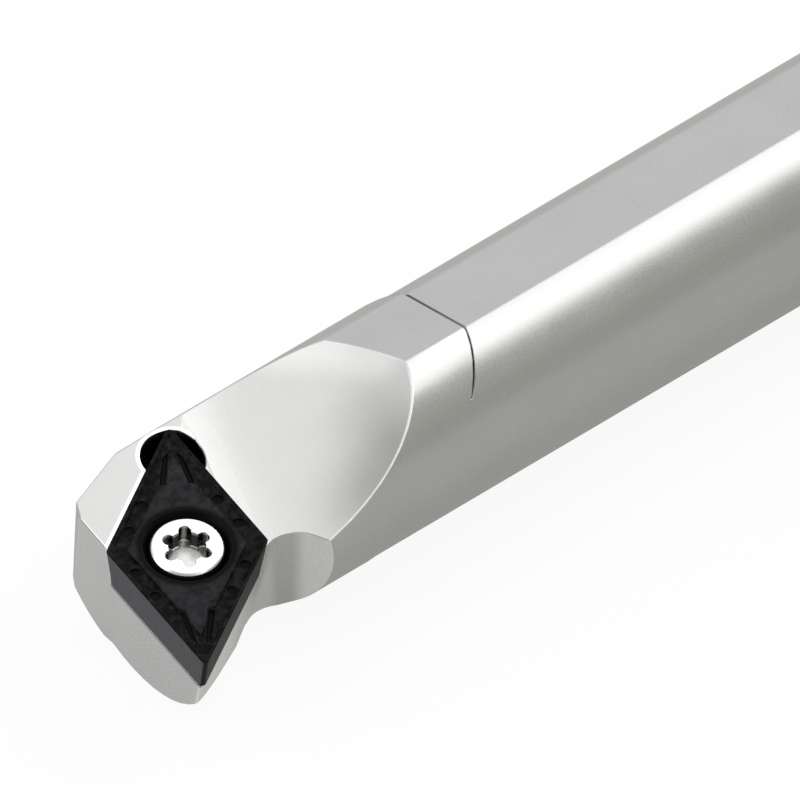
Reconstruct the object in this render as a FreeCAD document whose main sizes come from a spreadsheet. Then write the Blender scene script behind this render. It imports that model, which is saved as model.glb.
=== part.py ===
# Boring bar with one screw-clamped 55 degree insert.
# Millimetres. The origin is the centre of the shank's rear end face and X runs from the
# cutting head to that face. Z is the normal of the upper clamping flat, and the nose
# reaches out towards -Y at the height of the shank's axis.

import FreeCAD, Part
import os

import Sketcher

doc = FreeCAD.newDocument("boring_bar")

# Driving dimensions

DIMENSIONS = [
    ("bar_length", 127.0, "nose of the insert to the rear face"),
    ("shank_diameter", 9.525, "round shank"),
    ("shank_height", 8.85, "across the two clamping flats"),
    ("rear_chamfer", 0.5, "chamfer round the rear face"),
    ("neck_length", 21.46, "nose to the step where the shank flat ends"),
    ("neck_step", 0.1, "the neck flat stands this much above the shank flat"),
    ("neck_swell", 0.09, "added to the shank radius along the neck"),
    ("neck_shift", 0.04, "the neck is off centre by this much up and away from the nose"),
    ("nose_reach", 7.03, "shank axis to the nose, across the bar"),
    ("seam_width", 0.13, "grinding relief at the step, along the bar"),
    ("seam_sink", 0.12, "depth of that relief on the flat, less down the sides"),
    ("seam_end", 2.6, "height above the axis where that relief ends"),
    ("head_radius", 6.05, "round pad under the insert"),
    ("head_shift", 1.43, "centre of the pad, towards the nose"),
    ("head_rise", 1.01, "centre of the pad above the shank axis"),
    ("head_far_height", 1.7, "above this the far side of the head is as round as the neck"),
    ("head_length", 6.86, "nose to the end of the pad's full radius"),
    ("axial_tilt", 9.7, "the rake face falls towards the front"),
    ("radial_tilt", 11.9, "the rake face falls towards the nose"),
    ("entering_angle", 100.0, "front cutting edge to the feed direction"),
    ("point_angle", 55.0, "corner of the insert"),
    ("inscribed_circle", 6.35, "circle that touches the four cutting edges"),
    ("insert_thickness", 2.38, "rake face to seat"),
    ("nose_radius", 0.2, "corner radius of the insert"),
    ("flank_angle", 7.0, "clearance of the insert's flanks"),
    ("insert_hole", 2.8, "hole for the clamping screw"),
    ("countersink_diameter", 4.0, "countersink at the rake face"),
    ("countersink_angle", 60.0, "included angle of the countersink"),
    ("edge_land", 0.15, "flat land behind the cutting edge"),
    ("groove_width", 0.68, "chipbreaker groove behind the land"),
    ("groove_depth", 0.13, "depth of the chipbreaker groove"),
    ("groove_slope", 35.0, "side walls of the chipbreaker groove"),
    ("dimple_diameter", 0.5, "dimples in the chipbreaker groove"),
    ("dimple_depth", 0.1, "dimple below the groove"),
    ("flute_start", 0.83, "nose arc centre to the start of the two long flutes"),
    ("flute_length", 2.1, "length of a long flute"),
    ("flute_gap", 0.09, "diagonal to a flute at its start"),
    ("flute_spread", 0.37, "a flute moves away from the diagonal by this much"),
    ("flute_width", 0.4, "width of a long flute"),
    ("flute_depth", 0.26, "depth of a long flute"),
    ("flute_slope", 20.0, "side walls of a flute"),
    ("seat_clearance", 0.02, "insert to the two pocket walls"),
    ("corner_relief", 1.43, "radius of the relief hole at the inner corner"),
    ("corner_inset", 1.2, "relief hole centre inside the insert's rear corner arc"),
    ("head_top_drop", 0.1, "top of the head below the rake face"),
    ("front_setback", 0.2, "front face of the head behind the front cutting edge"),
    ("front_relief", 2.0, "front face leans back from the insert's height direction"),
    ("side_setback", 0.15, "side of the head behind the insert's trailing flank"),
    ("notch_reach", 9.68, "nose to the end of the relief notch, along the trailing edge"),
    ("notch_radius", 1.75, "corner of the relief notch"),
    ("far_corner_x", 9.47, "far front corner, along the insert's long diagonal"),
    ("far_corner_y", 4.53, "far front corner, across the insert's long diagonal"),
    ("far_corner_angle", 38.0, "far front flat to the insert's long diagonal"),
    ("far_corner_break", 5.0, "small flat before it to the insert's long diagonal"),
    ("top_reach", 2.8, "flat top of the head behind the centre of the relief hole"),
    ("chip_radius", 15.4, "radius of the chip pocket, milled as part of a cylinder"),
    ("chip_x", 11.29, "nose to the cylinder's axis, in the bar's upright plane"),
    ("chip_z", 19.03, "height of the cylinder's axis above the shank axis there"),
    ("chip_turn", 25.7, "cylinder turned about Z"),
    ("chip_tilt", 22.8, "cylinder's axis rises towards the far side"),
    ("screw_diameter", 2.5, "thread of the clamping screw"),
    ("screw_length", 6.0, "top of the head to the tip"),
    ("screw_head", 3.3, "rim of the screw head"),
    ("screw_rim", 0.55, "height of the rim"),
    ("screw_edge", 0.1, "small chamfer round the top of the rim"),
    ("screw_tip", 0.3, "chamfer at the screw's tip"),
    ("screw_clearance", 0.02, "screw to the insert's cone and to the tapped hole"),
    ("recess_core", 1.66, "core of the six-lobe recess"),
    ("recess_size", 2.31, "six-lobe recess across its lobes"),
    ("recess_lobe", 0.56, "width of a lobe"),
    ("recess_depth", 0.95, "depth of the recess"),
]

dims = doc.addObject("Spreadsheet::Sheet", "dims")
for row, (alias, value, note) in enumerate(DIMENSIONS, start=1):
    dims.set("A%d" % row, alias)
    dims.set("B%d" % row, str(value))
    dims.set("C%d" % row, note)
    dims.setAlias("B%d" % row, alias)
doc.recompute()

# Lengths worked out from the driving dimensions, as expressions

BIG = "(2 * dims.shank_diameter)"
NOSE_X = "(-dims.bar_length)"
HALF_POINT = "(dims.point_angle * 1 deg / 2)"
HALF_LONG = "(dims.inscribed_circle / 2 / sin(%s))" % HALF_POINT
HALF_SHORT = "(dims.inscribed_circle / 2 / cos(%s))" % HALF_POINT
NOSE_TIP = "(dims.nose_radius / sin(%s))" % HALF_POINT
INSERT_CENTRE = "(%s - %s)" % (HALF_LONG, NOSE_TIP)
REAR_CORNER = "(2 * %s)" % INSERT_CENTRE
RELIEF_X = "(%s - dims.corner_inset)" % REAR_CORNER
SEAT_TURN = "(180 - dims.entering_angle - dims.point_angle / 2)"
CONE_SLOPE = "tan(dims.countersink_angle * 1 deg / 2)"
SEAT = "insert.Placement"

# Places of the chipbreaker's dimples along a side, from a sharp corner
DIMPLE_SHARES = [0.555, 0.795]


def bind(obj, **expressions):
    """Ties properties of an object to expressions; a double underscore stands for a dot."""
    for name, expression in expressions.items():
        obj.setExpression(name.replace("__", "."), expression)
    return obj


def place(obj, x="0", y="0", z="0", turn="rotationz(0)", base=None):
    """Ties an object's placement to expressions, in the frame of base if one is given."""
    local = "placement(vector(%s; %s; %s); %s)" % (x, y, z, turn)
    obj.setExpression("Placement", local if base is None else "%s * %s" % (base, local))
    return obj


def new_body(name):
    return doc.addObject("PartDesign::Body", name)


def new_sketch(body, name, role, **offset):
    """A sketch on one of the body's own origin planes, shifted by expressions."""
    plane = next(f for f in body.Origin.OriginFeatures if f.Role == role)
    sketch = body.newObject("Sketcher::SketchObject", name)
    sketch.AttachmentSupport = [(plane, "")]
    sketch.MapMode = "FlatFace"
    for axis, expression in offset.items():
        sketch.setExpression("AttachmentOffset.Base.%s" % axis, expression)
    doc.recompute()
    return sketch


def number(obj, expression):
    result = obj.evalExpression(expression)
    return float(getattr(result, "Value", result))


def pin_point(sketch, geometry, point, x, y):
    """Ties a point of a sketch to two expressions."""
    for kind, expression in (("DistanceX", x), ("DistanceY", y)):
        value = number(sketch, expression)
        index = sketch.addConstraint(Sketcher.Constraint(kind, geometry, point, value))
        sketch.setExpression("Constraints[%d]" % index, expression)


def polygon(sketch, corners):
    """A closed outline of straight lines whose corners are pairs of expressions."""
    points = [FreeCAD.Vector(number(sketch, x), number(sketch, y), 0) for x, y in corners]
    count = len(points)
    lines = [sketch.addGeometry(Part.LineSegment(points[i], points[(i + 1) % count]))
             for i in range(count)]
    for i in range(count):
        following = lines[(i + 1) % count]
        sketch.addConstraint(Sketcher.Constraint("Coincident", lines[i], 2, following, 1))
    for line, (x, y) in zip(lines, corners):
        pin_point(sketch, line, 1, x, y)
    return lines


def add_circle(sketch, x, y, radius):
    """A circle whose centre and radius are tied to expressions."""
    centre = FreeCAD.Vector(number(sketch, x), number(sketch, y), 0)
    size = number(sketch, radius)
    circle = sketch.addGeometry(Part.Circle(centre, FreeCAD.Vector(0, 0, 1), size))
    pin_point(sketch, circle, 3, x, y)
    index = sketch.addConstraint(Sketcher.Constraint("Radius", circle, size))
    sketch.setExpression("Constraints[%d]" % index, radius)
    return circle


def pad(body, sketch, name, length, **settings):
    """A pad of a sketch; settings are plain values or expressions."""
    feature = body.newObject("PartDesign::Pad", name)
    feature.Profile = sketch
    feature.setExpression("Length", length)
    for key, value in settings.items():
        if isinstance(value, str):
            feature.setExpression(key, value)
        else:
            setattr(feature, key, value)
    doc.recompute()
    return feature


def pocket(body, sketch, name, depth, **settings):
    """A pocket cut into the body from a sketch."""
    feature = body.newObject("PartDesign::Pocket", name)
    feature.Profile = sketch
    feature.setExpression("Length", depth)
    for key, value in settings.items():
        if isinstance(value, str):
            feature.setExpression(key, value)
        else:
            setattr(feature, key, value)
    doc.recompute()
    return feature


def upright_edges(shape, spots, tolerance=0.05):
    """Names of the edges that run from top to bottom beside the given points."""
    names = []
    for index, edge in enumerate(shape.Edges, start=1):
        ends = [vertex.Point for vertex in edge.Vertexes]
        if len(ends) != 2 or abs(ends[0].z - ends[1].z) < tolerance:
            continue
        top = max(ends, key=lambda p: p.z)
        if any(abs(top.x - x) < tolerance and abs(top.y - y) < tolerance for x, y in spots):
            names.append("Edge%d" % index)
    return names


# Insert: its frame has its origin at the centre of the nose arc on the rake face, X along
# the long diagonal away from the nose, Z out of the rake face

def make_insert():
    body = new_body("insert")
    place(body, "%s + dims.nose_radius" % NOSE_X, "-(dims.nose_reach - dims.nose_radius)",
          "0", "rotationx(dims.radial_tilt) * rotationy(-dims.axial_tilt) * rotationz(%s)" % SEAT_TURN)

    outline = new_sketch(body, "insert_outline", "XY_Plane")
    corners = [("-" + NOSE_TIP, "0"),
               (INSERT_CENTRE, "-" + HALF_SHORT),
               ("%s + %s" % (REAR_CORNER, NOSE_TIP), "0"),
               (INSERT_CENTRE, HALF_SHORT)]
    polygon(outline, corners)
    block = pad(body, outline, "insert_block", "dims.insert_thickness",
                Reversed=True, TaperAngle="-dims.flank_angle")

    rounds = body.newObject("PartDesign::Fillet", "insert_corners")
    spots = [(number(outline, x), number(outline, y)) for x, y in corners]
    rounds.Base = (block, upright_edges(block.Shape, spots))
    bind(rounds, Radius="dims.nose_radius")
    doc.recompute()

    bore = new_sketch(body, "insert_bore_section", "XZ_Plane", x=INSERT_CENTRE)
    polygon(bore, [("0", "0.5"),
                   ("dims.countersink_diameter / 2 + 0.5 * %s" % CONE_SLOPE, "0.5"),
                   ("dims.insert_hole / 2",
                    "-(dims.countersink_diameter - dims.insert_hole) / 2 / %s" % CONE_SLOPE),
                   ("dims.insert_hole / 2", "-(dims.insert_thickness + 0.5)"),
                   ("0", "-(dims.insert_thickness + 0.5)")])
    cut = body.newObject("PartDesign::Groove", "insert_bore")
    cut.Profile = bore
    cut.ReferenceAxis = (bore, ["V_Axis"])
    cut.Angle = 360
    doc.recompute()
    cut_chipbreaker(body)
    return body


def inset_rhombus(inset):
    """Corners of the rake face's outline moved inwards by an expression."""
    long_inset = "%s / sin(%s)" % (inset, HALF_POINT)
    short_inset = "%s / cos(%s)" % (inset, HALF_POINT)
    return [("%s - %s" % (long_inset, NOSE_TIP), "0"),
            (INSERT_CENTRE, "%s - %s" % (short_inset, HALF_SHORT)),
            ("%s + %s - %s" % (REAR_CORNER, NOSE_TIP, long_inset), "0"),
            (INSERT_CENTRE, "%s - %s" % (HALF_SHORT, short_inset))]


def blunt_rhombus(inset):
    """The same with both sharp corners cut square, as far inside the corner arcs."""
    nose, side, rear, other_side = inset_rhombus(inset)
    blunt = "(%s - dims.nose_radius)" % inset
    half = "(%s + %s - %s / sin(%s)) * tan(%s)" % (blunt, NOSE_TIP, inset, HALF_POINT, HALF_POINT)
    return [(blunt, half), (blunt, "-(%s)" % half), side,
            ("%s - %s" % (REAR_CORNER, blunt), "-(%s)" % half),
            ("%s - %s" % (REAR_CORNER, blunt), half), other_side]


def cut_chipbreaker(body):
    """A groove behind the edge land, dimples in it and two flutes at each sharp corner."""
    ring = new_sketch(body, "groove_outline", "XY_Plane")
    polygon(ring, blunt_rhombus("dims.edge_land"))
    polygon(ring, inset_rhombus("(dims.edge_land + dims.groove_width)"))
    pocket(body, ring, "groove", "dims.groove_depth", TaperAngle="-dims.groove_slope")

    dimples = new_sketch(body, "dimple_outline", "XY_Plane")
    inset = "(dims.edge_land + dims.groove_width / 2)"
    corners = inset_rhombus(inset)
    for side in range(4):
        (x0, y0), (x1, y1) = corners[side], corners[(side + 1) % 4]
        for share in DIMPLE_SHARES if side % 2 == 0 else [1 - share for share in DIMPLE_SHARES]:
            x = "(%s) + %s * ((%s) - (%s))" % (x0, share, x1, x0)
            y = "(%s) + %s * ((%s) - (%s))" % (y0, share, y1, y0)
            add_circle(dimples, x, y, "dims.dimple_diameter / 2")
    pocket(body, dimples, "dimples", "dims.groove_depth + dims.dimple_depth")

    flutes = new_sketch(body, "flute_outline", "XY_Plane")
    for side in ("", "-"):
        for mirrored in (False, True):
            strip = [("dims.flute_start", side + "dims.flute_gap"),
                     ("dims.flute_start + dims.flute_length",
                      side + "(dims.flute_gap + dims.flute_spread)"),
                     ("dims.flute_start + dims.flute_length",
                      side + "(dims.flute_gap + dims.flute_spread + dims.flute_width)"),
                     ("dims.flute_start + dims.flute_width",
                      side + "(dims.flute_gap + dims.flute_width)")]
            if mirrored:
                strip = [("%s - (%s)" % (REAR_CORNER, x), y) for x, y in strip]
            polygon(flutes, strip)
    pocket(body, flutes, "flutes", "dims.flute_depth", TaperAngle="-dims.flute_slope")


insert = make_insert()


# Clamping screw: its frame has its origin at the centre of the head's top face

def make_screw():
    body = new_body("clamp_screw")
    sink = ("((dims.countersink_diameter - dims.screw_head) / 2 / %s - dims.screw_rim"
            " - dims.screw_clearance / sin(dims.countersink_angle * 1 deg / 2))" % CONE_SLOPE)
    place(body, INSERT_CENTRE, "0", "-" + sink, base=SEAT)

    section = new_sketch(body, "screw_section", "XZ_Plane")
    neck_z = "-(dims.screw_rim + (dims.screw_head - dims.screw_diameter) / 2 / %s)" % CONE_SLOPE
    polygon(section, [("0", "0"),
                      ("dims.screw_head / 2 - dims.screw_edge", "0"),
                      ("dims.screw_head / 2", "-dims.screw_edge"),
                      ("dims.screw_head / 2", "-dims.screw_rim"),
                      ("dims.screw_diameter / 2", neck_z),
                      ("dims.screw_diameter / 2", "dims.screw_tip - dims.screw_length"),
                      ("dims.screw_diameter / 2 - dims.screw_tip", "-dims.screw_length"),
                      ("0", "-dims.screw_length")])
    turned = body.newObject("PartDesign::Revolution", "screw_turned")
    turned.Profile = section
    turned.ReferenceAxis = (section, ["V_Axis"])
    turned.Angle = 360
    doc.recompute()

    core = new_sketch(body, "recess_core_outline", "XY_Plane")
    add_circle(core, "0", "0", "dims.recess_core / 2")
    pocket(body, core, "recess_core_pocket", "dims.recess_depth")
    lobe = new_sketch(body, "recess_lobe_outline", "XY_Plane")
    add_circle(lobe, "(dims.recess_size - dims.recess_lobe) / 2", "0", "dims.recess_lobe / 2")
    first = pocket(body, lobe, "recess_lobe_pocket", "dims.recess_depth")
    lobes = body.newObject("PartDesign::PolarPattern", "recess_lobes")
    lobes.Originals = [first]
    lobes.Axis = (core, ["N_Axis"])
    lobes.Angle = 360
    lobes.Occurrences = 6
    body.Tip = lobes
    doc.recompute()
    return body


clamp_screw = make_screw()


# Bar: turned blanks first, then the flats, the chip pocket and the insert's seat

def turned(name, section, **offset):
    """A solid turned about X from pairs of X and radius."""
    body = new_body(name)
    sketch = new_sketch(body, name + "_section", "XZ_Plane")
    polygon(sketch, section)
    feature = body.newObject("PartDesign::Revolution", name + "_turned")
    feature.Profile = sketch
    feature.ReferenceAxis = (sketch, ["H_Axis"])
    feature.Angle = 360
    place(body, **offset)
    doc.recompute()
    return body


def block(name, corner, size, base=None):
    """A box that starts at a corner of the frame given by base."""
    box = doc.addObject("Part::Box", name)
    bind(box, Length=size[0], Width=size[1], Height=size[2])
    return place(box, *corner, base=base)


def rod(name, start, radius, length, base=None, turn="rotationz(0)"):
    """A cylinder that starts at a point of the frame given by base."""
    cylinder = doc.addObject("Part::Cylinder", name)
    bind(cylinder, Radius=radius, Height=length)
    return place(cylinder, *start, turn=turn, base=base)


def fuse(name, *shapes):
    result = doc.addObject("Part::MultiFuse", name)
    result.Shapes = list(shapes)
    return result


def common(name, *shapes):
    result = doc.addObject("Part::MultiCommon", name)
    result.Shapes = list(shapes)
    return result


def cut(name, base, *tools):
    """Cuts one or several tools from a shape."""
    result = doc.addObject("Part::Cut", name)
    result.Base = base
    result.Tool = tools[0] if len(tools) == 1 else fuse(name + "_tools", *tools)
    return result


def make_blank():
    """Shank with two flats, the neck in front of it and the pad under the insert."""
    lead = "(%s - 3)" % NOSE_X
    half_flat = "(dims.shank_height / 2)"
    shank = turned("shank", [(lead, "0"),
                             (lead, "dims.shank_diameter / 2"),
                             ("-dims.rear_chamfer", "dims.shank_diameter / 2"),
                             ("0", "dims.shank_diameter / 2 - dims.rear_chamfer"),
                             ("0", "0")])
    flat = (lead, "-" + BIG)
    long_size = ("dims.bar_length + 10", "2 * " + BIG, BIG)
    shank_top = block("shank_top", flat + (half_flat,), long_size)
    below = block("below", flat + ("-%s - %s" % (half_flat, BIG),), long_size)

    # The neck ends in a plane that leans forward going down, with a fine relief behind it
    neck_end = "(%s + dims.neck_length)" % NOSE_X
    lean = "placement(vector(%s; 0; %s); rotationy(135))" % (neck_end, half_flat)
    seam = block("seam", ("-" + BIG, "-" + BIG, "0"),
                 ("2 * " + BIG, "2 * " + BIG, "dims.seam_width"), lean)
    core_round = rod("core_round", (lead, "0", "-dims.seam_sink"), "dims.shank_diameter / 2",
                     "dims.bar_length + 6", turn="rotationy(90)")
    core_top = block("core_top", flat + ("%s - dims.seam_sink" % half_flat,), long_size)
    seam_low = block("seam_low", (lead, "-" + BIG, "dims.seam_end - " + BIG), long_size)
    seam_relief = cut("seam_relief", seam, cut("seam_core", core_round, core_top), seam_low)
    shank_flats = cut("shank_flats", shank, shank_top, below, seam_relief)

    neck_radius = "(dims.shank_diameter / 2 + dims.neck_swell)"
    neck = turned("neck", [(lead, "0"), (lead, neck_radius),
                           (neck_end, neck_radius), (neck_end, "0")],
                  y="dims.neck_shift", z="dims.neck_shift")
    neck_top = block("neck_top", flat + ("%s + dims.neck_step" % half_flat,), long_size)
    neck_back = block("neck_back", ("-" + BIG, "-" + BIG, "0"),
                      ("2 * " + BIG, "2 * " + BIG, BIG), lean)
    neck_flats = cut("neck_flats", neck, neck_top, below, neck_back)

    pad_end = "(%s + dims.head_length)" % NOSE_X
    head_pad = turned("head_pad", [(lead, "0"), (lead, "dims.head_radius"),
                                   (pad_end, "dims.head_radius"),
                                   ("%s + dims.head_radius" % pad_end, "0")],
                      y="-dims.head_shift", z="dims.head_rise")
    pad_far = block("pad_far", (lead, "0", "dims.head_far_height"), (BIG, BIG, BIG))
    low_pad = cut("low_pad", head_pad, pad_far)
    return fuse("blank", shank_flats, neck_flats, low_pad)


def make_chip_pocket():
    """A cylinder whose lower side sweeps from the insert up and out of the bar."""
    frame = ("placement(vector(%s + dims.chip_x; 0; dims.chip_z);"
             " rotationz(-dims.chip_turn) * rotationx(dims.chip_tilt))" % NOSE_X)
    return rod("chip_pocket", ("0", BIG, "0"), "dims.chip_radius", "2 * " + BIG,
               frame, "rotationx(90)")


def make_seat_tools():
    """Everything that is cut in the frame of the insert."""
    wide = "2 * " + BIG
    top = block("head_top", ("-" + BIG, "-dims.inscribed_circle", "-dims.head_top_drop"),
                ("%s + %s + dims.top_reach" % (BIG, RELIEF_X), wide, BIG), SEAT)
    front = block("front_face", ("-" + BIG, "dims.nose_radius - dims.front_setback", "-" + BIG),
                  (wide, BIG, wide), SEAT + " * placement(vector(0; 0; 0);"
                  " rotationz(dims.point_angle / 2) * rotationx(-dims.front_relief))")
    corner = SEAT + " * placement(vector(dims.far_corner_x; dims.far_corner_y; 0); rotationz(%s))"
    far_flat = block("far_flat", ("-" + BIG, "0", "-" + BIG), (wide, BIG, wide),
                     corner % "-dims.far_corner_angle")
    far_break = block("far_break", ("-" + BIG, "0", "-" + BIG), (wide, BIG, wide),
                      corner % "dims.far_corner_break")

    # The two walls lean out by the flank angle and would meet inside the relief hole
    apex = "(%s + %s + dims.seat_clearance / sin(%s))" % (REAR_CORNER, NOSE_TIP, HALF_POINT)
    wall = SEAT + " * placement(vector(%s; 0; 0); rotationz(%%s) * rotationx(%%s))" % apex
    centred = ("-" + BIG, "-" + BIG, "-" + BIG)
    far_wall = block("far_wall", centred, (wide, BIG, wide),
                     wall % ("-dims.point_angle / 2", "-dims.flank_angle"))
    near_wall = block("near_wall", ("-" + BIG, "0", "-" + BIG), (wide, BIG, wide),
                      wall % ("dims.point_angle / 2", "dims.flank_angle"))
    floor = block("seat_floor", ("-" + BIG, "-" + BIG, "-dims.insert_thickness"),
                  ("%s + %s" % (BIG, REAR_CORNER), wide, BIG), SEAT)
    seat = common("insert_seat", far_wall, near_wall, floor)
    relief = rod("corner_relief_hole", (RELIEF_X, "0", "-dims.insert_thickness"),
                 "dims.corner_relief", "dims.insert_thickness + 3", SEAT)
    tapped = rod("tapped_hole", (INSERT_CENTRE, "0", "-" + BIG),
                 "dims.screw_diameter / 2 + dims.screw_clearance", BIG, SEAT)

    notch = new_body("side_relief")
    place(notch, base=SEAT,
          turn="rotationz(-dims.point_angle / 2) * rotationx(dims.flank_angle)")
    plan = new_sketch(notch, "side_relief_outline", "XY_Plane", z="-" + BIG)
    side = "(dims.side_setback - dims.nose_radius)"
    reach = "dims.notch_reach"
    polygon(plan, [("-" + BIG, side), (reach, side), (reach, "-" + BIG), ("-" + BIG, "-" + BIG)])
    slab = pad(notch, plan, "side_relief_slab", wide)
    inner = notch.newObject("PartDesign::Fillet", "notch_corner")
    spot = (number(plan, reach), number(plan, side))
    inner.Base = (slab, upright_edges(slab.Shape, [spot]))
    bind(inner, Radius="dims.notch_radius")
    doc.recompute()
    return [top, front, far_flat, far_break, seat, relief, tapped, notch]


bar = cut("bar", make_blank(), make_chip_pocket(), *make_seat_tools())
doc.recompute()

# Checks and export: one file for each real piece

PIECES = [(bar, "bar"), (insert, "insert"), (clamp_screw, "clamp_screw")]

for obj in doc.Objects:
    if "Invalid" in obj.State or "Error" in obj.State or not obj.isValid():
        raise RuntimeError("%s failed: %s" % (obj.Name, obj.State))
for piece, label in PIECES:
    piece.Label = label
    if not piece.Shape.isValid() or len(piece.Shape.Solids) != 1:
        raise RuntimeError("%s is not one valid solid" % label)

os.makedirs("parts", exist_ok=True)
for piece, label in PIECES:
    piece.Shape.exportStep("parts/%s.step" % label)
    print("%s: %.2f mm3" % (label, piece.Shape.Volume))
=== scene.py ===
# Boring bar with a screw-clamped rhombic insert: finishes, softened edges and a studio view.
import bmesh
import bpy
import math
from mathutils import Matrix, Vector


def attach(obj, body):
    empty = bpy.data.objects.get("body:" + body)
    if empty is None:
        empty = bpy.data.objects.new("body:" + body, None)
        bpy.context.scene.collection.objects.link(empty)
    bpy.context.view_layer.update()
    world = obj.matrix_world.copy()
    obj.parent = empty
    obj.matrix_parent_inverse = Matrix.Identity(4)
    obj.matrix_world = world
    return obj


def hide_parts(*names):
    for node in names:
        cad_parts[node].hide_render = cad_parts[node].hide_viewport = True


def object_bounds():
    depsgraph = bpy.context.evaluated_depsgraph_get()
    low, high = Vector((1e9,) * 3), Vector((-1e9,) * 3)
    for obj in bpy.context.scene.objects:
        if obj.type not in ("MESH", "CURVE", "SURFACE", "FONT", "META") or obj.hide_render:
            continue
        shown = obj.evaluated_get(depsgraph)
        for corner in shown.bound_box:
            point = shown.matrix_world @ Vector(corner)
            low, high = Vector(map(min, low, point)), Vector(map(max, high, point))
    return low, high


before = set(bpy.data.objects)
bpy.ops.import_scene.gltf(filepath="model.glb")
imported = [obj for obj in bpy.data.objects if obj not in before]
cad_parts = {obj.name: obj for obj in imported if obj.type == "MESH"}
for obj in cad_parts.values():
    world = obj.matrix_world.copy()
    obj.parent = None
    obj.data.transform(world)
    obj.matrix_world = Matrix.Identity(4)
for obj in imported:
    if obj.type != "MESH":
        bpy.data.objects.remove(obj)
cad_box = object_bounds()
scene = bpy.context.scene
MM = 0.001

# The photograph's view, with the pixel where a point on the bar's axis beside the nose lies.
# Lengths are in millimetres.

AZIMUTH = math.radians(45.63)
ELEVATION = math.radians(35.2)
FRAME_PIXELS = 800
PIXELS_PER_MM = 22.89
ANCHOR_PIXEL = (93.63, 595.97)
ANCHOR = Vector((-126.78, -0.01, 0.0))
HEAD_MIDDLE = Vector((-115.0, 0.0, 0.0))
CAMERA_DISTANCE = 500.0
FLOOR_GAP = 0.02

# Sizes that the finishes follow, in millimetres. The seat's frame starts at the centre of the
# insert's nose arc; its X runs along the insert and its Z is the normal of the insert's top.

SEAT = (Matrix.Translation(Vector((-126.8, -6.83, 0.0)))
        @ Matrix.Rotation(math.radians(11.9), 4, "X")
        @ Matrix.Rotation(math.radians(-9.7), 4, "Y")
        @ Matrix.Rotation(math.radians(52.5), 4, "Z"))
HALF_POINT = math.radians(27.5)
POINT_SIN = math.sin(HALF_POINT)
POINT_COS = math.cos(HALF_POINT)
EDGE_OFFSET = 0.2
INSERT_CENTRE = 6.443
SEAT_DEPTH = 2.38
FLANK_LEAN = math.tan(math.radians(7.0))
FRONT_LEAN = 0.033
NOTCH_REACH = 9.69
RELIEF_CENTRE = 2 * INSERT_CENTRE - 1.2
RELIEF_RADIUS = 1.43
FLAT_HEIGHT = 4.425
GROOVE_WIDTH = 0.13
NECK_END = -105.54
NECK_AXIS = 0.04
NECK_RADIUS = 4.8525
SWEEP_POINT = Vector((-115.71, 0.0, 19.03))
SWEEP_AXIS = Vector((0.3998, 0.8307, 0.3875)).normalized()
SWEEP_RADIUS = 15.4
THREAD_PITCH = 0.45

# What is merged and how far edges are rounded, lengths in millimetres

MERGE_DISTANCE = 0.0005
FLAT_ENOUGH = math.radians(0.4)
WIDEST_ROUND = 0.1
BAR_ROUND = 0.06
GROOVE_ROUND = 0.02
INSERT_ROUND = 0.025
SCREW_ROUND = 0.03

# Tints of the finishes

NEUTRAL = (1.0, 1.0, 1.0)
WARM = (1.0, 0.998, 0.985)
COOL = (1.0, 0.985, 1.12)


# Shader maths as Python expressions

def add_node(tree, kind, inputs=(), output=0, **settings):
    """A new shader node: its settings come first, then its sockets by position or name."""
    made = tree.nodes.new("ShaderNode" + kind)
    for name, setting in settings.items():
        setattr(made, name, setting)
    pairs = inputs.items() if isinstance(inputs, dict) else enumerate(inputs)
    for key, given in pairs:
        if isinstance(given, Value):
            tree.links.new(given.socket, made.inputs[key])
        elif given is not None:
            made.inputs[key].default_value = given
    return Value(tree, made.outputs[output])


class Value:
    """A shader socket that can be used in expressions."""

    def __init__(self, tree, socket):
        self.tree = tree
        self.socket = socket

    def node(self, kind, inputs=(), output=0, **settings):
        return add_node(self.tree, kind, inputs, output, **settings)

    def maths(self, operation, *others):
        return self.node("Math", (self,) + others, operation=operation)

    def __add__(self, other):
        return self.maths("ADD", other)

    def __radd__(self, other):
        return self.maths("ADD", other)

    def __sub__(self, other):
        return self.maths("SUBTRACT", other)

    def __rsub__(self, other):
        return self.node("Math", (other, self), operation="SUBTRACT")

    def __mul__(self, other):
        return self.maths("MULTIPLY", other)

    def __rmul__(self, other):
        return self.maths("MULTIPLY", other)

    def __truediv__(self, other):
        return self.maths("DIVIDE", other)

    def __neg__(self):
        return self.maths("MULTIPLY", -1.0)

    def absolute(self):
        return self.maths("ABSOLUTE")

    def least(self, other):
        return self.maths("MINIMUM", other)

    def most(self, other):
        return self.maths("MAXIMUM", other)

    def root(self):
        return self.maths("SQRT")

    def ramp(self, low, high, start=0.0, end=1.0):
        """Runs smoothly from start at low to end at high."""
        return self.node("MapRange", (self, low, high, start, end),
                         interpolation_type="SMOOTHSTEP")

    def fade(self, low, high):
        """Runs smoothly from 1 at low to 0 at high."""
        return self.ramp(low, high, 1.0, 0.0)

    def vector(self, operation, other, output=0):
        return self.node("VectorMath", (self, other), operation=operation, output=output)

    def along(self, direction):
        """How far a position lies along a direction."""
        return self.vector("DOT_PRODUCT", tuple(direction), output=1)

    def mix(self, other, share):
        """This colour blended into another by a share, on the Mix node's colour sockets."""
        return self.node("Mix", {0: share, 6: self, 7: other}, output=2, data_type="RGBA")

    def noise(self, scale, detail=2.0, roughness=0.5):
        """Noise at this position, less one half, so that it spreads about nought."""
        return self.node("TexNoise", {"Vector": self, "Scale": scale, "Detail": detail,
                                      "Roughness": roughness}) - 0.5

    def colour(self, level, tint=NEUTRAL):
        """A colour of a given level; the level and the tint's shares may vary."""
        return self.node("CombineColor", tuple(level * share for share in tint))


def grey(level):
    return (level, level, level, 1.0)


# Finishes

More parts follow.
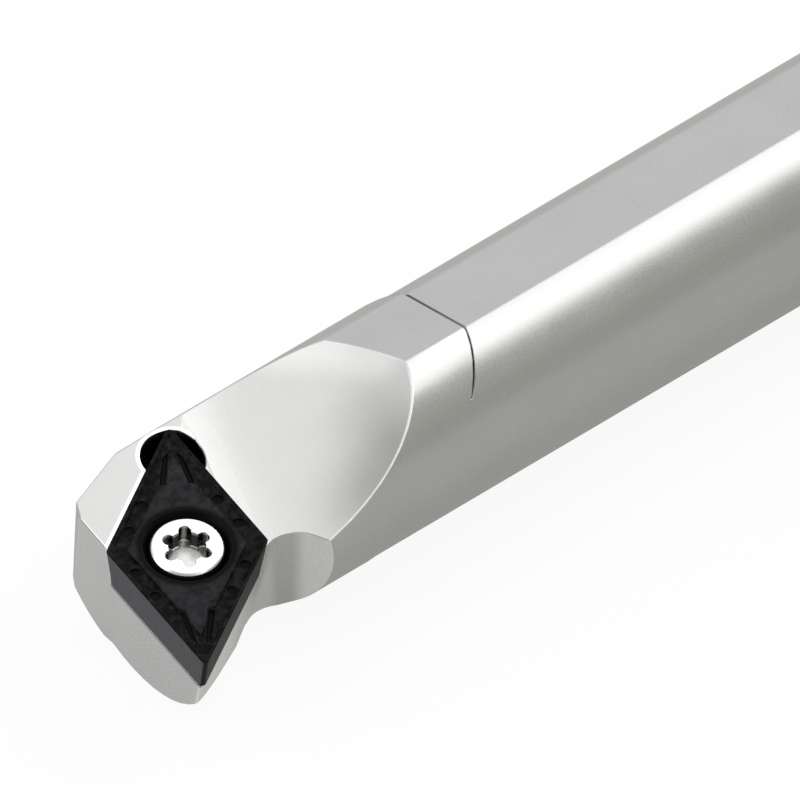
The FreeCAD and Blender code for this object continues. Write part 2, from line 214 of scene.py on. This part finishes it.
class Finish:
    """A material with one principled shader, read in object coordinates in millimetres."""

    def __init__(self, name, **constants):
        self.material = bpy.data.materials.new(name)
        self.material.use_nodes = True
        tree = self.material.node_tree
        self.shader = tree.nodes["Principled BSDF"]
        for key, given in constants.items():
            self.shader.inputs[key.replace("_", " ")].default_value = given
        metres = add_node(tree, "TexCoord", output="Object")
        self.place = metres.node("VectorMath", (metres, None, None, 1.0 / MM), operation="SCALE")

    def seat_axes(self):
        """Distances along the three axes of the insert's seat."""
        directions = (SEAT.col[axis].xyz for axis in range(3))
        return [self.place.along(way) - way.dot(SEAT.translation) for way in directions]

    def part_axes(self):
        """Distances along the three axes of the part."""
        return [self.place.along(way) for way in Matrix.Identity(3)]

    def from_line(self, point, direction):
        """Distance from a straight line."""
        off = self.place.vector("SUBTRACT", tuple(point))
        along = off.along(direction)
        return (off.vector("DOT_PRODUCT", off, output=1) - along * along).root()

    def stretched(self, direction, factor):
        """The position scaled along a direction, for streaks across it or along it."""
        along = self.place.along(direction) * (factor - 1.0)
        shift = self.place.node("VectorMath", (tuple(direction), None, None, along),
                                operation="SCALE")
        return self.place.vector("ADD", shift)

    def drive(self, key, value):
        value.tree.links.new(value.socket, self.shader.inputs[key])

    def bump(self, height, distance, strength):
        self.drive("Normal", height.node("Bump", {"Height": height, "Distance": distance,
                                                  "Strength": strength}))


def from_circle(x, y, centre):
    """Distance from a point on the seat's X axis, seen along the seat's normal."""
    return ((x - centre) * (x - centre) + y * y).root()


def pocket_masks(x, y, z):
    """The painted highlight along the upper edges of the insert's pocket, and the painted shade
    inside its relief hole.
    """
    run = (2 * INSERT_CENTRE + EDGE_OFFSET / POINT_SIN - x) * POINT_SIN
    across = y * POINT_COS
    outside_walls = (across - run).most(-across - run).most(x - RELIEF_CENTRE)
    outside_hole = from_circle(x, y, RELIEF_CENTRE) - RELIEF_RADIUS
    # Painted highlight along the pocket's upper edges.
    rim_highlight = outside_walls.least(outside_hole).fade(0.15, 0.24) * z.ramp(-0.34, -0.24)
    # Painted shade inside the relief hole.
    bore_shade = outside_hole.fade(0.04, 0.10) * z.fade(-0.50, -0.34)
    return rim_highlight, bore_shade


def groove_shade_mask(along, height):
    """Painted shade in the sloping relief groove behind the neck, down to its end on the side."""
    behind = (along - height - (NECK_END - FLAT_HEIGHT)) / math.sqrt(2.0)
    return (behind - GROOVE_WIDTH / 2).absolute().fade(0.085, 0.115) * height.ramp(2.4, 3.4)


def chip_pocket_masks(finish, along, sideways, height):
    """The chip pocket, a painted highlight along its edge, painted light in its part near the flat
    and painted shade in its part near the side.
    """
    swept = finish.from_line(SWEEP_POINT, SWEEP_AXIS)
    from_neck_axis = finish.from_line((0.0, NECK_AXIS, NECK_AXIS), (1.0, 0.0, 0.0))
    pocket = swept.fade(SWEEP_RADIUS + 0.01, SWEEP_RADIUS + 0.05)
    # A painted highlight along the chip pocket's edge.
    line = (swept.fade(SWEEP_RADIUS + 0.04, SWEEP_RADIUS + 0.07)
            * from_neck_axis.ramp(NECK_RADIUS - 0.07, NECK_RADIUS - 0.05)
            * sideways.ramp(-3.4, -1.5, 0.6, 0.0))
    # Painted light near the flat and painted shade near the side of the chip pocket.
    painted_light_by_flat = height.ramp(3.5, 4.3) * along.ramp(-114.5, -112.5) * sideways.ramp(-2.2, -0.8)
    painted_shade_by_side = (from_neck_axis.ramp(NECK_RADIUS - 2.8, NECK_RADIUS - 0.2)
                   * along.ramp(-118.5, -113.5) * height.fade(2.4, 4.3)
                   * sideways.fade(-1.5, 0.3))
    return pocket, line, painted_light_by_flat, painted_shade_by_side


def front_light_and_edge_shade(x, y, z):
    """The front face of the head, with painted light, and the painted shade along the edge between
    it and the seat.
    """
    ahead = y * POINT_COS - x * POINT_SIN
    # Painted light on the front face.
    front = (ahead - z * FRONT_LEAN).ramp(-0.12, -0.05) * z.fade(-0.30, -0.15)
    # Painted shade along the edge between the front face and the seat.
    edge = (ahead.ramp(-0.30, -0.20) * (z + SEAT_DEPTH).absolute().fade(0.06, 0.12)
            * x.fade(6.4, 6.6))
    return front, edge


def side_painted_light(x, y, z, along, height):
    """Painted light: how much brighter the side beside the insert and the far end of its notch are
    painted.
    """
    beside = -(y * POINT_COS) - x * POINT_SIN
    reach = x * POINT_COS - y * POINT_SIN
    above_flat = height + FLAT_HEIGHT
    mask = ((beside - z * FLANK_LEAN).ramp(-0.12, -0.05) * z.fade(-0.35, -0.20)
            * reach.fade(NOTCH_REACH, NOTCH_REACH + 0.05)
            * above_flat.ramp(0.015, 0.055).most(along.fade(-119.6, -119.2)))
    return mask * (0.40 + x.ramp(4.5, 6.5, 0.25, 0.0) - beside.ramp(-0.3, 0.1) * 0.30
                   + beside.ramp(0.5, 1.3) * 0.55)


def bar_finish():
    """Satin nickel plate with painted highlights along the pockets' edges, painted light on the
    front face, the side and the chip pocket near the flat, and painted shade in the relief groove,
    the relief hole, along the seat and in the chip pocket near the side.
    """
    finish = Finish("bar_satin_nickel", Metallic=1.0)
    place = finish.place
    x, y, z = finish.seat_axes()
    along, sideways, height = finish.part_axes()
    cloud = place.noise(0.35, 2.0)
    grain = place.noise(9.0, 3.0, 0.6)
    turned = finish.stretched((1.0, 0.0, 0.0), 12.0).noise(0.5, 2.0)

    rim_highlight, bore_shade = pocket_masks(x, y, z)
    groove = groove_shade_mask(along, height)
    pocket, line, painted_light_by_flat, painted_shade_by_side = chip_pocket_masks(finish, along, sideways, height)
    front, edge = front_light_and_edge_shade(x, y, z)
    side = side_painted_light(x, y, z, along, height) * (1.0 - pocket)

    level = 0.57 + cloud * 0.05 + grain * 0.04 + turned * 0.02
    # Painted light on the front face and the side; in the chip pocket, painted light near the flat
    # and painted shade near the side.
    level = level * (1.0 + front * 0.32 + side + pocket * (painted_light_by_flat * 0.24 - painted_shade_by_side * 0.42))
    # Painted highlights along the insert pocket's upper edges and the chip pocket's edge.
    level = level + rim_highlight.most(line) * (0.92 - level)
    # Painted shade in the relief groove, along the edge between the front face and the seat, and
    # inside the relief hole.
    level = level * (1.0 - groove * 0.78) * (1.0 - edge * 0.65) * (1.0 - bore_shade * 0.80)
    # The painted light on the front face and the side is also a little bluer.
    blue = 0.985 + front.most(side.least(1.0)) * 0.045
    finish.drive("Base Color", place.colour(level, (1.0, 0.998, blue)))
    finish.drive("Roughness", 0.27 + grain * 0.10 + cloud * 0.05)
    finish.bump(grain * 0.7 + turned * 0.3, 0.004 * MM, 0.5)
    return finish.material


def insert_finish():
    """Black coating; the front flank is painted lighter as painted light and has upright scratches;
    below the top and in the countersink the coating is painted black as painted shade.
    """
    finish = Finish("insert_dark_carbide", Metallic=0.0, Specular_IOR_Level=0.05)
    place = finish.place
    x, y, z = finish.seat_axes()
    grain = place.noise(14.0, 3.0, 0.6)
    speckle = place.noise(2.6, 3.0, 0.65)
    scratches = finish.stretched(SEAT.col[2].xyz, 0.12).noise(9.0, 3.0, 0.6)

    ahead = y * POINT_COS - x * POINT_SIN - EDGE_OFFSET
    flank = (ahead - z * FLANK_LEAN).ramp(-0.06, -0.03) * z.fade(-0.06, -0.03)
    # Painted shade: below the top the coating is painted black, which darkens the trailing flank.
    sunk_shade = z.fade(-0.20, -0.15)
    from_nose = EDGE_OFFSET + x * POINT_SIN - y.absolute() * POINT_COS
    from_rear = from_nose + (INSERT_CENTRE - x) * (2 * POINT_SIN)
    field = from_nose.least(from_rear).ramp(0.70, 1.0)

    coating = 0.005 + field * 0.013 + speckle * 0.050 + grain * 0.006
    # The coating is also painted black in the countersink around the screw, as painted shade.
    coating = coating * (1.0 - sunk_shade) * from_circle(x, y, INSERT_CENTRE).ramp(2.05, 2.45)
    # Painted light: the front flank is painted lighter, with its upright scratches.
    painted_flank_light_and_scratches = 0.058 + scratches * 0.05 + grain * 0.03
    level = (coating + flank * (painted_flank_light_and_scratches - coating)).most(0.002)
    finish.drive("Base Color", place.colour(level, COOL))
    finish.drive("Roughness", 0.40 + grain * 0.2)
    finish.bump(grain, 0.004 * MM, 0.6)
    return finish.material


def screw_finish():
    """Bright head; in its recess the middle gets painted light and the lobe walls painted shade."""
    finish = Finish("screw_bright_steel")
    place = finish.place
    x, y, z = finish.seat_axes()
    grain = place.noise(12.0, 2.0)
    radius = from_circle(x, y, INSERT_CENTRE)
    below_top = z.fade(-0.25, -0.06)
    # Painted shade on the lobe walls of the recess.
    lobe_shade = radius.ramp(0.62, 0.78) * radius.fade(1.12, 1.20) * below_top * z.ramp(-0.94, -0.90)
    # Painted light in the middle of the recess.
    recess_light = radius.fade(0.62, 0.78) * below_top * z.ramp(-1.2, -1.1)
    thread = z.fade(-1.5, -1.2)
    turn = y.maths("ARCTAN2", x - INSERT_CENTRE) / (2 * math.pi)
    ridge = ((z / THREAD_PITCH + turn).maths("FRACT") - 0.5).absolute() * 2.0

    level = 0.84 + grain * 0.08
    level = level + recess_light * (1.0 - level)
    level = level * (1.0 - lobe_shade * 0.93) * (1.0 - thread * 0.35)
    finish.drive("Base Color", place.colour(level, WARM))
    finish.drive("Roughness", 0.24 + grain * 0.08)
    # Less metal in the middle of the recess, so that its painted light shows white.
    finish.drive("Metallic", 1.0 - recess_light * 0.7)
    finish.bump(ridge * thread + grain * 0.01, 0.12 * MM, 1.0)
    return finish.material


# Pieces

def softened(node, name, sharp, width_at):
    """A copy of a node's solid whose edges are rounded by a width that depends on the place."""
    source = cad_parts[node]
    mesh = bpy.data.meshes.new(name)
    work = bmesh.new()
    work.from_mesh(source.data)
    bmesh.ops.remove_doubles(work, verts=work.verts, dist=MERGE_DISTANCE * MM)
    bmesh.ops.dissolve_limit(work, angle_limit=FLAT_ENOUGH, verts=work.verts, edges=work.edges)
    weights = work.edges.layers.float.new("bevel_weight_edge")
    for edge in work.edges:
        if len(edge.link_faces) == 2 and edge.calc_face_angle() > math.radians(sharp):
            middle = (edge.verts[0].co + edge.verts[1].co) / 2 / MM
            edge[weights] = width_at(middle) / WIDEST_ROUND
    for face in work.faces:
        face.smooth = True
    work.to_mesh(mesh)
    work.free()
    piece = bpy.data.objects.new(name, mesh)
    scene.collection.objects.link(piece)
    rounded = piece.modifiers.new("rounded_edges", "BEVEL")
    rounded.limit_method = "WEIGHT"
    rounded.width = WIDEST_ROUND * MM
    rounded.segments = 2
    rounded.use_clamp_overlap = False
    weighted = piece.modifiers.new("face_weighted", "WEIGHTED_NORMAL")
    weighted.weight = 100
    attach(piece, "root")
    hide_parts(node)
    return piece


def bar_round(point):
    """The groove behind the neck keeps its edges; the rest is broken a little more."""
    behind = point.x - point.z - (NECK_END - FLAT_HEIGHT)
    return GROOVE_ROUND if -0.3 < behind < 0.5 else BAR_ROUND


def paint(piece, material):
    piece.data.materials.clear()
    piece.data.materials.append(material)


body = softened("bar", "bar_body", 18.0, bar_round)
paint(body, bar_finish())
tip = softened("insert", "insert_body", 28.0, lambda point: INSERT_ROUND)
paint(tip, insert_finish())
screw = softened("clamp_screw", "screw_body", 28.0, lambda point: SCREW_ROUND)
paint(screw, screw_finish())


# Floor, light and camera

def stage_floor():
    """A pale floor that the camera sees as white and the metal reflects as mid grey."""
    mesh = bpy.data.meshes.new("floor")
    work = bmesh.new()
    bmesh.ops.create_grid(work, x_segments=1, y_segments=1, size=3.0)
    bmesh.ops.translate(work, verts=work.verts, vec=(0.0, 0.0, cad_box[0][2] - FLOOR_GAP * MM))
    work.to_mesh(mesh)
    work.free()
    floor = bpy.data.objects.new("floor", mesh)
    scene.collection.objects.link(floor)
    material = bpy.data.materials.new("pale_floor")
    material.use_nodes = True
    tree = material.node_tree
    shader = tree.nodes["Principled BSDF"]
    shader.inputs["Base Color"].default_value = grey(0.8)
    shader.inputs["Roughness"].default_value = 0.9
    camera = add_node(tree, "LightPath", output="Is Camera Ray")
    glossy = add_node(tree, "LightPath", output="Is Glossy Ray")
    shown = camera.colour(camera.ramp(0, 1, 0.47, 1.0), (1.0, 1.0, camera * 0.06 + 0.94))
    light = camera.node("Emission", {"Color": shown, "Strength": 1.0})
    both = camera.node("MixShader", (camera * 0.92 + glossy * 0.75,
                                     Value(tree, shader.outputs[0]), light))
    tree.links.new(both.socket, tree.nodes["Material Output"].inputs["Surface"])
    mesh.materials.append(material)


def world_light():
    """A pale room, darker on the nose's side, with soft light above; the camera sees white."""
    world = bpy.data.worlds.new("studio")
    scene.world = world
    world.use_nodes = True
    tree = world.node_tree
    background = tree.nodes["Background"]
    where = add_node(tree, "TexCoord", output="Generated")
    x, y, z = (where.node("SeparateXYZ", (where,), output=axis) for axis in range(3))
    room = y.ramp(-0.3, 0.45, 0.48, 0.82)
    overhead = ((y + (0.52 - x).most(0.0)).ramp(-0.56, -0.30) * y.fade(0.30, 0.50)
                * x.ramp(-0.6, 0.1) * z.ramp(0.0, 0.3))
    brightest = (x * 0.8 - y * 0.6).ramp(0.38, 0.58)
    level = room + overhead * (0.68 + brightest * 0.85)
    blue = y.ramp(-0.3, 0.45, 0.94, 1.02)
    blue = blue + overhead * (1.0 - blue)
    rays = add_node(tree, "LightPath", output="Is Camera Ray")
    sky = level.colour(level, (1.0, 1.0, blue)).mix(grey(1.0), rays)
    tree.links.new(sky.socket, background.inputs["Color"])
    background.inputs["Strength"].default_value = 1.0


def softbox(name, direction, distance, size, radiance):
    """A square lamp that faces the head of the bar from a direction."""
    lamp = bpy.data.lights.new(name, "AREA")
    lamp.shape = "SQUARE"
    lamp.size = size
    lamp.energy = radiance * math.pi * size * size
    holder = bpy.data.objects.new(name, lamp)
    scene.collection.objects.link(holder)
    towards = Vector(direction).normalized()
    holder.location = HEAD_MIDDLE * MM + towards * distance
    holder.rotation_euler = towards.to_track_quat("Z", "Y").to_euler()


def set_camera():
    """A camera without perspective that shows the anchor point on its pixel."""
    right = Vector((math.cos(AZIMUTH), -math.sin(AZIMUTH), 0.0))
    up = Vector((math.sin(AZIMUTH) * math.sin(ELEVATION),
                 math.cos(AZIMUTH) * math.sin(ELEVATION), math.cos(ELEVATION)))
    back = right.cross(up)
    half = FRAME_PIXELS / 2
    middle = (ANCHOR + right * (half - ANCHOR_PIXEL[0]) / PIXELS_PER_MM
              + up * (ANCHOR_PIXEL[1] - half) / PIXELS_PER_MM)
    lens = bpy.data.cameras.new("camera")
    lens.type = "ORTHO"
    lens.ortho_scale = FRAME_PIXELS / PIXELS_PER_MM * MM
    lens.clip_start = 0.001
    lens.clip_end = 10.0
    camera = bpy.data.objects.new("camera", lens)
    scene.collection.objects.link(camera)
    camera.matrix_world = (Matrix.Translation((middle + back * CAMERA_DISTANCE) * MM)
                           @ Matrix((right, up, back)).transposed().to_4x4())
    scene.camera = camera


stage_floor()
world_light()
softbox("front_fill", (-0.75, 0.35, 0.55), 0.4, 0.25, 3.0)
set_camera()
scene.view_settings.view_transform = "Standard"
